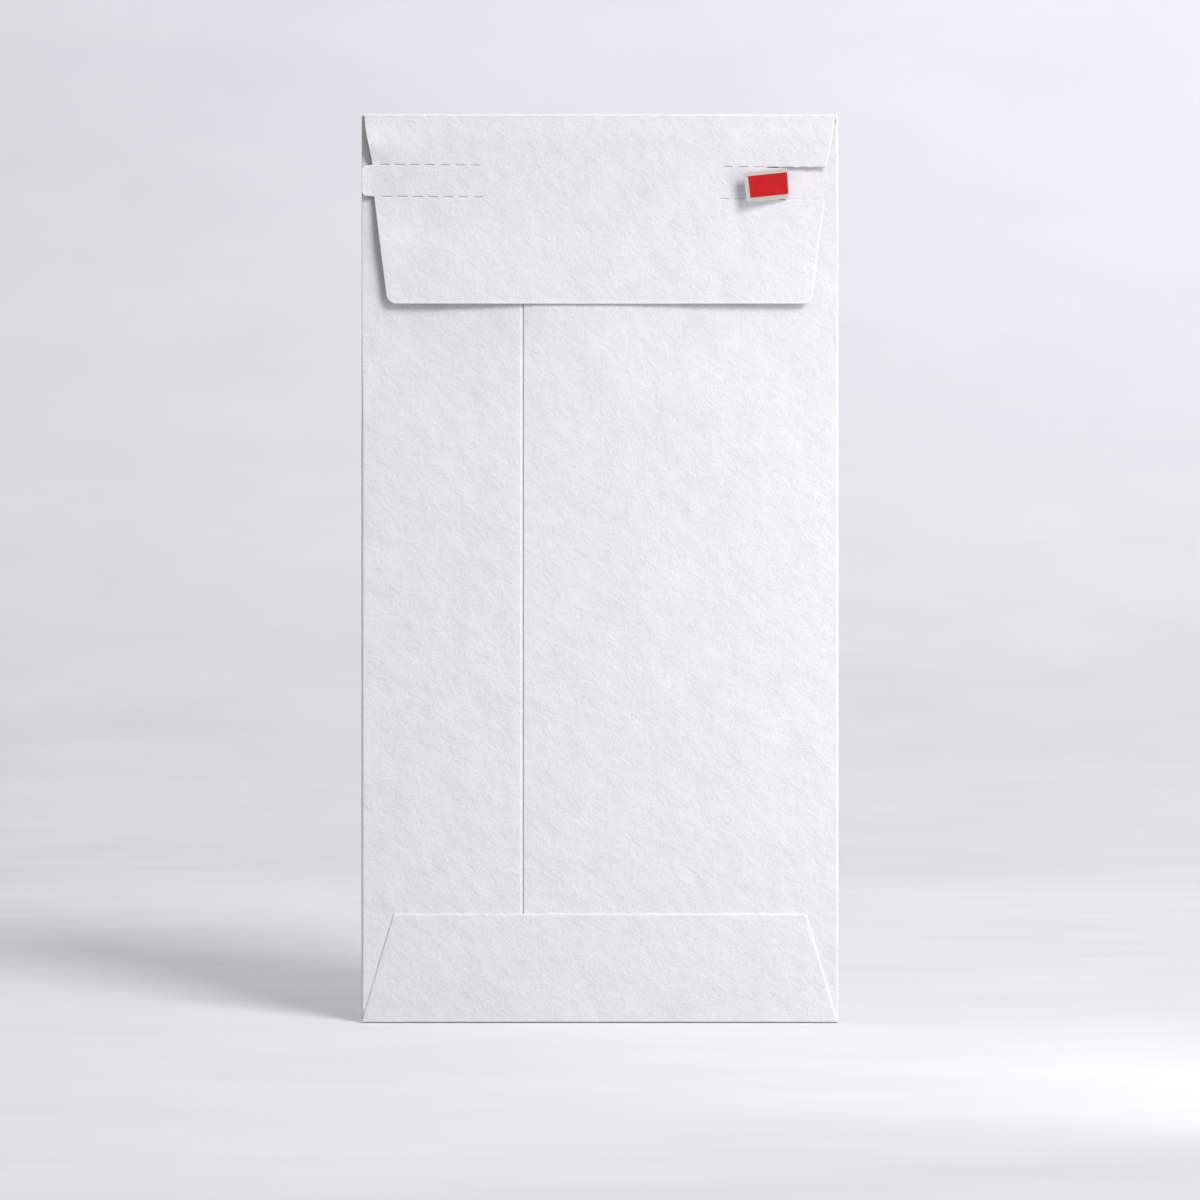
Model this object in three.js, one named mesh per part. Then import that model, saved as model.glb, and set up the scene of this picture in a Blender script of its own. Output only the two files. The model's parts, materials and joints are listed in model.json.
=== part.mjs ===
// A tall pocket envelope that stands on its bottom fold, in millimetres.
// X runs to the right as seen from the flap side, Z runs up, and the flap side faces -Y.
// It is one sheet of heavy paper, folded round a flat pocket. The closure flap has a tear strip between
// two perforated lines. Its right end has been torn out and is curled back over the flap.
// Depths are counted from the address side, which is the far side, towards the flap side.
import * as THREE from 'three';

// Layers
const paperThickness = 0.25;
const filmThickness = 0.0625;
const pocketGap = 1;
const creaseRadius = 0.75;
const creaseSteps = 4;

// Pocket
const pocketWidth = 120;
const pocketHeight = 228.5;
const throatDrop = 1.5;
const seamFromLeft = 40.8;
const seamLap = 12;
const seamGlueWidth = 8;
const seamGlueInset = 2;
const glueEndMargin = 4;

// Bottom flap
const bottomFlapHeight = 27.45;
const bottomFlapInsetAtCrease = 0.3;
const bottomFlapInsetAtTop = 8.2;
const bottomGlueHeight = 18;
const glueStepClearance = 0.3;

// Closure flap: an upper band, the tear strip and a lower panel
const flapHeight = 47.8;
const bandHeight = 13.1;
const flapInsetAtCrease = 1;
const flapInsetAtStrip = 3.1;
const panelInsetAtStrip = 3.5;
const panelInsetAtBottom = 6.9;
const panelCornerRadius = 2.6;
const gumHeight = 12;
const gumMargin = 4;
const cornerSteps = 6;

// Tear strip and its starter tab
const stripWidth = 8;
const tabEndInset = 0.4;
const tabCornerRadius = 1.2;
const slitLength = 2.66;
const slitGap = 1.14;
const slitWidth = 0.25;
const slitsPerGroup = 7;
const tornSlits = 5;
const leftSlitInset = { upper: 1.3, lower: 2 };
const rightSlitInset = { upper: 0.7, lower: 1.6 };

// Tear tape on the strip's reverse
const tapeWidth = 5.4;
const tapeEndMargin = 1.05;

// The torn end, turned back round an axis that leans to the left at its top
const tornFlatRun = 7.5;
const curlRadius = 1.125;
const curlLean = THREE.MathUtils.degToRad(3.65);
const curlSteps = 12;
const tornCornerRadius = 0.6;

// Places that follow from the sizes
const halfWidth = pocketWidth / 2;
const sideX = halfWidth - creaseRadius;
const topCreaseZ = pocketHeight - creaseRadius;
const throatZ = topCreaseZ - throatDrop;
const seamX = seamFromLeft - halfWidth;
const stripTopZ = pocketHeight - bandHeight;
const stripBottomZ = stripTopZ - stripWidth;
const stripMiddleZ = (stripTopZ + stripBottomZ) / 2;
const flapBottomZ = pocketHeight - flapHeight;
const tabRootX = halfWidth - flapInsetAtStrip;
const tabEndX = halfWidth - tabEndInset;
const slitPitch = slitLength + slitGap;
const tornWidth = stripWidth - 2 * slitWidth;
const tearX = Math.max(groupFrontX(rightSlitInset.upper), groupFrontX(rightSlitInset.lower));
const curlX = tearX + tornFlatRun;

// Depth of each layer's far face
const seamFlapDepth = paperThickness + pocketGap;
const seamGlueDepth = seamFlapDepth + paperThickness;
const backPanelDepth = seamGlueDepth + filmThickness;
const outerFilmDepth = backPanelDepth + paperThickness;
const outerFlapDepth = outerFilmDepth + filmThickness;
const foldedDepth = outerFlapDepth + paperThickness;
const curlRise = 2 * curlRadius + paperThickness + filmThickness;

// Points of a section nearer to each other than this are one point.
const samePointDistance = 1e-6;

const paper = new THREE.MeshStandardMaterial({ color: '#f3f3f6', roughness: 0.9 });
const tape = new THREE.MeshStandardMaterial({ color: '#cb2a2e', roughness: 0.45 });
const gum = new THREE.MeshStandardMaterial({ color: '#ece8d8', roughness: 0.5 });

const towardsFlapSide = new THREE.Vector3(0, -1, 0);
const right = new THREE.Vector3(1, 0, 0);
const up = new THREE.Vector3(0, 0, 1);

const envelope = new THREE.Group();
envelope.position.y = (foldedDepth + curlRise) / 2;

function addPiece(name, geometry, material) {
  const mesh = new THREE.Mesh(geometry, material);
  mesh.name = name;
  envelope.add(mesh);
}

// A flat layer: an upright outline in X and Z, whose far face is at the given depth.
function layer(outline, depth, thickness = paperThickness) {
  const geometry = new THREE.ExtrudeGeometry(new THREE.Shape(outline), {
    depth: thickness,
    bevelEnabled: false,
  });
  geometry.applyMatrix4(new THREE.Matrix4().makeBasis(right, up, towardsFlapSide));
  geometry.translate(0, -depth, 0);
  return geometry;
}

function rectangle(leftX, rightX, bottomZ, topZ) {
  return trapezoid((leftX + rightX) / 2, (rightX - leftX) / 2, (rightX - leftX) / 2, bottomZ, topZ);
}

function trapezoid(middleX, halfAtBottom, halfAtTop, bottomZ, topZ) {
  return [
    new THREE.Vector2(middleX - halfAtBottom, bottomZ),
    new THREE.Vector2(middleX + halfAtBottom, bottomZ),
    new THREE.Vector2(middleX + halfAtTop, topZ),
    new THREE.Vector2(middleX - halfAtTop, topZ),
  ];
}

// The arc that replaces one corner of an outline.
function roundedCorner(before, corner, after, radius) {
  const toBefore = before.clone().sub(corner).normalize();
  const toAfter = after.clone().sub(corner).normalize();
  const halfAngle = Math.acos(toBefore.dot(toAfter)) / 2;
  const bisector = toBefore.clone().add(toAfter).normalize();
  const centre = corner.clone().addScaledVector(bisector, radius / Math.sin(halfAngle));
  const start = corner.clone().addScaledVector(toBefore, radius / Math.tan(halfAngle)).sub(centre);
  const sweep = Math.sign(toAfter.cross(toBefore)) * (Math.PI - 2 * halfAngle);
  const origin = new THREE.Vector2();
  return Array.from({ length: cornerSteps + 1 }, (_, step) =>
    start.clone().rotateAround(origin, (sweep * step) / cornerSteps).add(centre));
}

// The section of a crease: paper turned through half a turn, with a flat land if the stack is thick.
// Its first axis runs towards the flap side and its second one outwards.
function creaseSection(stackDepth) {
  const farCentre = creaseRadius;
  const nearCentre = stackDepth - creaseRadius;
  const innerRadius = creaseRadius - paperThickness;
  const turns = [
    [farCentre, creaseRadius, Math.PI, Math.PI / 2],
    [nearCentre, creaseRadius, Math.PI / 2, 0],
    [nearCentre, innerRadius, 0, Math.PI / 2],
    [farCentre, innerRadius, Math.PI / 2, Math.PI],
  ];
  const points = turns.flatMap(([centre, radius, from, to]) =>
    Array.from({ length: creaseSteps + 1 }, (_, step) => {
      const angle = THREE.MathUtils.lerp(from, to, step / creaseSteps);
      return new THREE.Vector2(centre + radius * Math.cos(angle), radius * Math.sin(angle));
    }));
  return points.filter((point, index) =>
    index === 0 || point.distanceTo(points[index - 1]) > samePointDistance);
}

// A crease of the given length, whose middle is at the given X and Z.
function crease(stackDepth, outwards, length, middleX, middleZ) {
  const geometry = new THREE.ExtrudeGeometry(new THREE.Shape(creaseSection(stackDepth)), {
    depth: length,
    bevelEnabled: false,
  });
  geometry.translate(0, 0, -length / 2);
  const run = towardsFlapSide.clone().cross(outwards);
  geometry.applyMatrix4(new THREE.Matrix4().makeBasis(towardsFlapSide, outwards, run));
  geometry.translate(middleX, 0, middleZ);
  return geometry;
}

// Where the innermost torn slit of the right group begins on one edge. The strip is torn as far as tearX,
// where the slits of both edges are open.
function groupFrontX(inset) {
  return tabRootX - inset - tornSlits * slitPitch + slitGap;
}

// One perforated edge of the tear strip, from left to right. Each slit is a notch that goes inwards.
function perforatedEdge(edgeZ, notch, leftInset, rightInset) {
  const cuts = [];
  for (let index = 0; index < slitsPerGroup; index++) {
    cuts.push(-tabRootX + leftInset + index * slitPitch);
  }
  for (let index = slitsPerGroup - 1; index >= tornSlits; index--) {
    cuts.push(tabRootX - rightInset - index * slitPitch - slitLength);
  }
  const notches = cuts.flatMap((start) => [
    new THREE.Vector2(start, edgeZ),
    new THREE.Vector2(start, edgeZ + notch),
    new THREE.Vector2(start + slitLength, edgeZ + notch),
    new THREE.Vector2(start + slitLength, edgeZ),
  ]);
  const frontX = groupFrontX(rightInset);
  const openSlit = [
    new THREE.Vector2(frontX, edgeZ),
    new THREE.Vector2(frontX, edgeZ + notch),
    new THREE.Vector2(tearX, edgeZ + notch),
  ];
  return [
    new THREE.Vector2(-tabRootX, edgeZ),
    ...notches,
    ...(frontX < tearX ? openSlit : [new THREE.Vector2(tearX, edgeZ)]),
  ];
}

// The flat stretch of the torn part, from the tear front to the slanted line where the curl begins.
function tornRun(width) {
  const lowZ = stripMiddleZ - width / 2;
  const highZ = stripMiddleZ + width / 2;
  return [
    new THREE.Vector2(tearX, lowZ),
    new THREE.Vector2(curlStartX(lowZ), lowZ),
    new THREE.Vector2(curlStartX(highZ), highZ),
    new THREE.Vector2(tearX, highZ),
  ];
}

// The line across the strip where the curl begins.
function curlStartX(z) {
  return curlX - (z - stripMiddleZ) * Math.tan(curlLean);
}

// Where a point of the flat strip goes when the strip is curled back. It is given by its place in X and Z
// on the flat strip and by its distance from the curl's axis once it is curled.
function curled(flatX, flatZ, axisDistance) {
  const along = flatX - curlX;
  const across = flatZ - stripMiddleZ;
  const past = along * Math.cos(curlLean) + across * Math.sin(curlLean);
  const onAxis = across * Math.cos(curlLean) - along * Math.sin(curlLean);
  const turn = THREE.MathUtils.clamp(past / neutralRadius(), 0, Math.PI);
  const straight = past - turn * neutralRadius();
  const sideways = axisDistance * Math.sin(turn) + (turn > 0 ? -straight : straight);
  const rise = curlRadius - axisDistance * Math.cos(turn);
  return new THREE.Vector3(
    curlX + sideways * Math.cos(curlLean) - onAxis * Math.sin(curlLean),
    -foldedDepth - rise,
    stripMiddleZ + sideways * Math.sin(curlLean) + onAxis * Math.cos(curlLean),
  );
}

function neutralRadius() {
  return curlRadius + paperThickness / 2;
}

// A line across the flat strip that is parallel to the curl's axis, as its low and high ends.
function curlLine(past, width) {
  return [-width / 2, width / 2].map((across) => new THREE.Vector2(
    curlX + (past - across * Math.sin(curlLean)) / Math.cos(curlLean),
    stripMiddleZ + across,
  ));
}

function halfTurnLines(width) {
  return Array.from({ length: curlSteps + 1 }, (_, step) =>
    curlLine((neutralRadius() * Math.PI * step) / curlSteps, width));
}

// The lines across the torn end, from the curl to its free end with two rounded corners.
function tornEndLines(width, endX, cornerRadius) {
  const lines = [curlLine(neutralRadius() * Math.PI, width)];
  for (let step = 0; step <= cornerSteps; step++) {
    const angle = (Math.PI / 2) * (step / cornerSteps);
    const x = endX - cornerRadius * (1 - Math.sin(angle));
    const reach = width / 2 - cornerRadius * (1 - Math.cos(angle));
    lines.push([
      new THREE.Vector2(x, stripMiddleZ - reach),
      new THREE.Vector2(x, stripMiddleZ + reach),
    ]);
  }
  return lines;
}

// A solid strip through lines across the flat strip, curled back with its inner face on axisDistance.
function curledStrip(lines, axisDistance, thickness) {
  const positions = [];
  for (const [low, high] of lines) {
    for (const [end, distance] of [[low, 0], [high, 0], [high, thickness], [low, thickness]]) {
      positions.push(...curled(end.x, end.y, axisDistance + distance));
    }
  }
  const indices = [0, 1, 2, 0, 2, 3];
  const lastRing = 4 * (lines.length - 1);
  for (let ring = 0; ring < lastRing; ring += 4) {
    for (let side = 0; side < 4; side++) {
      const here = ring + side;
      const beside = ring + ((side + 1) % 4);
      indices.push(here, here + 4, beside + 4, here, beside + 4, beside);
    }
  }
  indices.push(lastRing, lastRing + 2, lastRing + 1, lastRing, lastRing + 3, lastRing + 2);
  const geometry = new THREE.BufferGeometry();
  geometry.setAttribute('position', new THREE.Float32BufferAttribute(positions, 3));
  geometry.setIndex(indices);
  return geometry;
}

function addPocket() {
  addPiece('front_panel', layer(rectangle(-sideX, sideX, creaseRadius, topCreaseZ), 0), paper);

  const sideLength = topCreaseZ - creaseRadius;
  const sideMiddleZ = (topCreaseZ + creaseRadius) / 2;
  const left = right.clone().negate();
  addPiece('left_side_fold', crease(seamGlueDepth, left, sideLength, -sideX, sideMiddleZ), paper);
  addPiece('right_side_fold', crease(outerFilmDepth, right, sideLength, sideX, sideMiddleZ), paper);

  const seamFlap = rectangle(-sideX, seamX + seamLap, creaseRadius, throatZ);
  addPiece('left_seam_flap', layer(seamFlap, seamFlapDepth), paper);
  const backPanel = rectangle(seamX, sideX, creaseRadius, throatZ);
  addPiece('right_back_panel', layer(backPanel, backPanelDepth), paper);
  const seamGlue = rectangle(
    seamX + seamGlueInset,
    seamX + seamGlueInset + seamGlueWidth,
    creaseRadius + glueEndMargin,
    throatZ - glueEndMargin,
  );
  addPiece('side_seam_glue', layer(seamGlue, seamGlueDepth, filmThickness), gum);
}

function addBottomFlap() {
  const halfAtCrease = halfWidth - bottomFlapInsetAtCrease;
  const halfAtTop = halfWidth - bottomFlapInsetAtTop;
  const down = up.clone().negate();
  addPiece('bottom_fold', crease(foldedDepth, down, 2 * halfAtCrease, 0, creaseRadius), paper);
  const flap = trapezoid(0, halfAtCrease, halfAtTop, creaseRadius, bottomFlapHeight);
  addPiece('bottom_flap', layer(flap, outerFlapDepth), paper);
  addPiece('bottom_flap_glue', bottomGlue(halfAtTop - glueEndMargin), gum);
}

// The glue is a film on the back panel and fills the step down to the seam flap on its left.
function bottomGlue(halfLength) {
  const stepX = seamX - glueStepClearance;
  const section = [
    new THREE.Vector2(-outerFlapDepth, -halfLength),
    new THREE.Vector2(-outerFlapDepth, halfLength),
    new THREE.Vector2(-outerFilmDepth, halfLength),
    new THREE.Vector2(-outerFilmDepth, stepX),
    new THREE.Vector2(-seamGlueDepth, stepX),
    new THREE.Vector2(-seamGlueDepth, -halfLength),
  ];
  const geometry = new THREE.ExtrudeGeometry(new THREE.Shape(section), {
    depth: bottomGlueHeight,
    bevelEnabled: false,
  });
  const away = towardsFlapSide.clone().negate();
  geometry.applyMatrix4(new THREE.Matrix4().makeBasis(away, right, up.clone().negate()));
  geometry.translate(0, 0, creaseRadius + glueEndMargin + bottomGlueHeight);
  return geometry;
}

function addClosureFlap() {
  const creaseLength = 2 * (halfWidth - flapInsetAtCrease);
  addPiece('top_fold', crease(foldedDepth, up, creaseLength, 0, topCreaseZ), paper);
  const band = trapezoid(0, tabRootX, creaseLength / 2, stripTopZ, topCreaseZ);
  addPiece('flap_upper_band', layer(band, outerFlapDepth), paper);

  const halfAtBottom = halfWidth - panelInsetAtBottom;
  const halfAtStrip = halfWidth - panelInsetAtStrip;
  const [lowLeft, lowRight, highRight, highLeft] =
    trapezoid(0, halfAtBottom, halfAtStrip, flapBottomZ, stripBottomZ);
  const panel = [
    ...roundedCorner(highLeft, lowLeft, lowRight, panelCornerRadius),
    ...roundedCorner(lowLeft, lowRight, highRight, panelCornerRadius),
    highRight,
    highLeft,
  ];
  addPiece('flap_lower_panel', layer(panel, outerFlapDepth), paper);

  const gumBottomZ = flapBottomZ + gumMargin;
  const gumHalf = halfAtBottom - gumMargin;
  const gumBand = rectangle(-gumHalf, gumHalf, gumBottomZ, gumBottomZ + gumHeight);
  addPiece('closure_gum', layer(gumBand, outerFilmDepth, filmThickness), gum);
}

function addTearStrip() {
  const lowerEdge = perforatedEdge(stripBottomZ, slitWidth, leftSlitInset.lower, rightSlitInset.lower);
  const upperEdge = perforatedEdge(stripTopZ, -slitWidth, leftSlitInset.upper, rightSlitInset.upper);
  addPiece('tear_strip', layer([...lowerEdge, ...upperEdge.reverse()], outerFlapDepth), paper);
  addPiece('torn_strip_run', layer(tornRun(tornWidth), outerFlapDepth), paper);
  addPiece('strip_curl', curledStrip(halfTurnLines(tornWidth), curlRadius, paperThickness), paper);
  const tornLines = tornEndLines(tornWidth, tabEndX, tornCornerRadius);
  addPiece('torn_strip_end', curledStrip(tornLines, curlRadius, paperThickness), paper);

  const [lowRoot, highRoot, highEnd, lowEnd] = [
    new THREE.Vector2(-tabRootX, stripBottomZ),
    new THREE.Vector2(-tabRootX, stripTopZ),
    new THREE.Vector2(-tabEndX, stripTopZ),
    new THREE.Vector2(-tabEndX, stripBottomZ),
  ];
  const tab = [
    lowRoot,
    highRoot,
    ...roundedCorner(highRoot, highEnd, lowEnd, tabCornerRadius),
    ...roundedCorner(highEnd, lowEnd, lowRoot, tabCornerRadius),
  ];
  addPiece('starter_tab', layer(tab, outerFlapDepth), paper);
}

function addTearTape() {
  const lowZ = stripMiddleZ - tapeWidth / 2;
  const highZ = stripMiddleZ + tapeWidth / 2;
  const endX = tabEndX - tapeEndMargin;
  const reverseRadius = curlRadius + paperThickness;
  const start = rectangle(-endX, -tabRootX, lowZ, highZ);
  addPiece('tear_tape_start', layer(start, outerFilmDepth, filmThickness), tape);
  const middle = rectangle(-tabRootX, tearX, lowZ, highZ);
  addPiece('tear_tape', layer(middle, outerFilmDepth, filmThickness), tape);
  addPiece('tear_tape_run', layer(tornRun(tapeWidth), outerFilmDepth, filmThickness), tape);
  addPiece('tape_curl', curledStrip(halfTurnLines(tapeWidth), reverseRadius, filmThickness), tape);
  const endLines = tornEndLines(tapeWidth, endX, 0).slice(0, 2);
  addPiece('tear_tape_end', curledStrip(endLines, reverseRadius, filmThickness), tape);
}

addPocket();
addBottomFlap();
addClosureFlap();
addTearStrip();
addTearTape();

export default envelope;
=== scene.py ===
# A tall white pocket envelope of heavy cotton paper with a torn tear strip: the folded sheet, its
# creases, slits, torn edges, red tear tape and gum, in a plain pale studio.
# Sizes are in millimetres unless a note says otherwise, and a mesh gets them in metres.
import json
import math

import bpy
import numpy as np
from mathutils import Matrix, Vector, noise


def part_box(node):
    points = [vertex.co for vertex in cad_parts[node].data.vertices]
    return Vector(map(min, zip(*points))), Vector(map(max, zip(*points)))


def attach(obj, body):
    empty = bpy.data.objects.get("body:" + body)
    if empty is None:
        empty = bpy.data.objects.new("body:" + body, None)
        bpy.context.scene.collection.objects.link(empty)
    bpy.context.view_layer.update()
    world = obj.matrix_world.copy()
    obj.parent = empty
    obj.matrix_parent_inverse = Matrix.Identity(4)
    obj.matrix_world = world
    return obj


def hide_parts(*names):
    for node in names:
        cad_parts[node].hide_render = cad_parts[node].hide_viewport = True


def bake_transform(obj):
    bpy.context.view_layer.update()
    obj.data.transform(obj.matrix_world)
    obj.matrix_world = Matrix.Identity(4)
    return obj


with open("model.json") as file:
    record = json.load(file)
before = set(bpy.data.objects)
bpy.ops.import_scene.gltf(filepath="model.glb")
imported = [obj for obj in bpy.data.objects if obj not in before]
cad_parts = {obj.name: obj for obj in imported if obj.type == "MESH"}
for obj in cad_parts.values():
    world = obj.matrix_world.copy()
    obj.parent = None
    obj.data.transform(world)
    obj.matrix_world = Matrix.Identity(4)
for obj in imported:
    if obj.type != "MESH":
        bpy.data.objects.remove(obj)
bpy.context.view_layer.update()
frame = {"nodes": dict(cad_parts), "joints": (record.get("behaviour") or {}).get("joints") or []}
mm = 0.001
print("frame loaded:", len(frame["nodes"]), "nodes")


def nodeBox(node):
    low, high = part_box(node)
    return low / mm, high / mm


# What the frame says about the folded sheet. X runs to the right, Z up, and the flap side faces -Y.
frontLow, frontHigh = nodeBox("front_panel")
seamFlapLow, seamFlapHigh = nodeBox("left_seam_flap")
backLow, backHigh = nodeBox("right_back_panel")
sideFoldHigh = nodeBox("right_side_fold")[1]
footFoldLow, footFoldHigh = nodeBox("bottom_fold")
footLow, footHigh = nodeBox("bottom_flap")
topFoldLow, topFoldHigh = nodeBox("top_fold")
bandLow, bandHigh = nodeBox("flap_upper_band")
stripLow, stripHigh = nodeBox("tear_strip")
lowerLow, lowerHigh = nodeBox("flap_lower_panel")
tabLow, tabHigh = nodeBox("starter_tab")
tapeLow, tapeHigh = nodeBox("tear_tape")
tapeStartLow, tapeStartHigh = nodeBox("tear_tape_start")
tapeEndLow = nodeBox("tear_tape_end")[0]
runLow, runHigh = nodeBox("torn_strip_run")
gumLow, gumHigh = nodeBox("closure_gum")
seamGlueLow, seamGlueHigh = nodeBox("side_seam_glue")
footGlueLow, footGlueHigh = nodeBox("bottom_flap_glue")

farY = frontHigh.y  # the address side, from which depths are counted towards the flap side
paperThickness = frontHigh.y - frontLow.y
filmThickness = tapeHigh.y - tapeLow.y
halfWidth = sideFoldHigh.x
creaseRadius = halfWidth - frontHigh.x
height = topFoldHigh.z
seamX = backLow.x
outerFlapDepth = farY - bandHigh.y
foldedDepth = farY - bandLow.y
stripMiddleZ = (stripLow.z + stripHigh.z) / 2
tearX = stripHigh.x
tabRootX = -stripLow.x
tabEndX = -tabLow.x


def smoothStep(low, high, value):
    share = np.clip((np.asarray(value, float) - low) / (high - low), 0, 1)
    return share * share * (3 - 2 * share)


def cloudNoise(x, z, scale, seed):
    spots = zip(np.ravel(x / scale), np.ravel(z / scale))
    values = [noise.noise(Vector((a, seed, b))) for a, b in spots]
    return np.array(values).reshape(np.shape(x))


# How the paper lies. The whole stack is slightly wavy, and the pocket's back wall sags away from the
# closure flap on both sides of the seam. The flap bulges below its crease and stands off at its left
# edge, at its lower corners and beside the torn slot, but lies flat where the starter tab bends.
# A fade goes from 0 at its first place to 1 at its second.
lie = dict(
    waveHeight=0.16, waveScale=42, waveSeed=3.1, rippleHeight=0.03, rippleScale=13, rippleSeed=8.7,
    waveMargin=14,
    sagLeft=1.15, sagLeftStart=-16, sagLeftReach=30, sagRight=0.86, sagRightReach=48,
    sagRightFade=(-4, 14), sagFade=(140, 179), slotSagShare=0.38, slotFade=(194, 209),
    seamRise=0.25, seamDipWidth=0.95, seamDipEnd=0.14, seamLipDrop=0.04,
    bulge=0.26, bulgeFade=(206, 222), creaseFade=(227.75, 222),
    leftLift=0.85, leftFade=(-44, -58), leftLowFade=(184, 197), tabShare=0.04,
    tabZone=(196, 208.5, 214.5, 221),
    lowLift=0.4, lowFade=(201, 181), lowCornerLift=0.34, lowCornerFade=(12, 44),
    tornCornerLift=0.62, tornCornerFade=(37, 57.5), tornCornerZone=(206.5, 215, 221, 227.7),
    cornerCurl=0.75, cornerCurlReach=3.2, cornerCurlX=-58.2, cornerCurlZ=219.2,
    heldFade=(-51, -55.8), heldZone=(204.5, 207.4, 215.4, 220.5), tabTipLift=0.3,
    lineTilt=0.0068, lineDrop=0.06, lineFade=12,
)


def wave(x, z):
    margin = np.minimum(halfWidth - np.abs(x), np.minimum(z, height - z))
    calm = smoothStep(0, lie["waveMargin"], margin)
    long = lie["waveHeight"] * cloudNoise(x, z, lie["waveScale"], lie["waveSeed"])
    short = lie["rippleHeight"] * cloudNoise(x, z, lie["rippleScale"], lie["rippleSeed"])
    return calm * (long + short)


def wallSag(x, z):
    leftTurn = np.clip((lie["sagLeftStart"] - x) / lie["sagLeftReach"], 0, 1)
    rightTurn = np.clip(x / lie["sagRightReach"], 0, 1) * smoothStep(*lie["sagRightFade"], x)
    left = lie["sagLeft"] * np.sin(leftTurn * math.pi / 2)
    slot = 1 - (1 - lie["slotSagShare"]) * smoothStep(*lie["slotFade"], z)
    right = lie["sagRight"] * np.sin(rightTurn * math.pi / 2) * slot
    return (left + right) * smoothStep(*lie["sagFade"], z)


# Is 1 between the middle two of four levels, and fades to 0 at the outer two.
def zoneShare(levels, z):
    return smoothStep(levels[0], levels[1], z) * smoothStep(levels[3], levels[2], z)


def flapLift(x, z):
    belowCrease = smoothStep(*lie["creaseFade"], z)
    bulge = lie["bulge"] * belowCrease * smoothStep(*lie["bulgeFade"], z)
    beside = lie["leftLift"] * smoothStep(*lie["leftFade"], x) * smoothStep(*lie["leftLowFade"], z)
    beside = beside * belowCrease * (1 - (1 - lie["tabShare"]) * zoneShare(lie["tabZone"], z))
    corners = smoothStep(*lie["lowCornerFade"], np.abs(x))
    low = (lie["lowLift"] + lie["lowCornerLift"] * corners) * smoothStep(*lie["lowFade"], z)
    besideSlot = smoothStep(*lie["tornCornerFade"], x) * zoneShare(lie["tornCornerZone"], z)
    freed = lie["tornCornerLift"] * besideSlot
    cornerAway = np.hypot(x - lie["cornerCurlX"], z - lie["cornerCurlZ"])
    curl = lie["cornerCurl"] * np.exp(-(cornerAway / lie["cornerCurlReach"]) ** 2)
    lifted = bulge + beside + low + freed + curl + wave(x, z)
    # the strip is held flat at the tab's root, and the tab's end stands up a little
    nearTab = zoneShare(lie["heldZone"], z)
    loose = 1 - nearTab * smoothStep(*lie["heldFade"], x)
    tip = np.clip((-tabRootX - x) / (tabEndX - tabRootX), 0, 1) ** 2
    return lifted * loose + lie["tabTipLift"] * tip * nearTab


# The perforated lines run slightly downhill to the right, as the strip was cut.
def lineShift(x, z):
    above = smoothStep(stripHigh.z + lie["lineFade"], stripHigh.z, z)
    share = above * smoothStep(lowerLow.z, stripLow.z, z)
    return -(lie["lineTilt"] * x + lie["lineDrop"]) * share


# Mesh building. A piece of sheet is a grid of points on its near face, which is the one towards the
# flap side or outwards, and the same grid on its far face, closed by walls round its rim.
# Rows and columns stand at the edge steps from a cut edge.
edgeSteps = np.array([0, 0.025, 0.06, 0.11, 0.2, 0.34, 0.55, 0.85, 1.3])
# How a cut edge is rounded, and how far in from it the paper is painted lighter: a painted highlight
# where the edge catches the light.
cutEdge = dict(roundWidth=0.34, nearDrop=0.45, farDrop=0.08, highlightWidth=0.6)
farAway = 99.0
sharpAngle = 50


def edgeDistance(x, z, lines):
    nearest = np.full(np.shape(x), farAway)
    for line in lines:
        for (ax, az), (bx, bz) in zip(line[:-1], line[1:]):
            length = (bx - ax) ** 2 + (bz - az) ** 2
            share = np.clip(((x - ax) * (bx - ax) + (z - az) * (bz - az)) / length, 0, 1)
            away = np.hypot(x - ax - share * (bx - ax), z - az - share * (bz - az))
            nearest = np.minimum(nearest, away)
    return nearest


# Rounds the near face over towards a cut edge, as the blade that cuts from that side leaves it.
def roundEdges(near, far, distance):
    share = 1 - np.clip(distance / cutEdge["roundWidth"], 0, 1)
    closing = (1 - np.sqrt(1 - share**2))[..., None]
    across = far - near
    return near + across * cutEdge["nearDrop"] * closing, far - across * cutEdge["farDrop"] * closing


def gridFaces(index):
    corners = [index[:-1, :-1], index[:-1, 1:], index[1:, 1:], index[1:, :-1]]
    return np.stack(corners, -1).reshape(-1, 4)


def linkObject(name, data):
    made = bpy.data.objects.new(name, data)
    bpy.context.scene.collection.objects.link(made)
    return made


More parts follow.
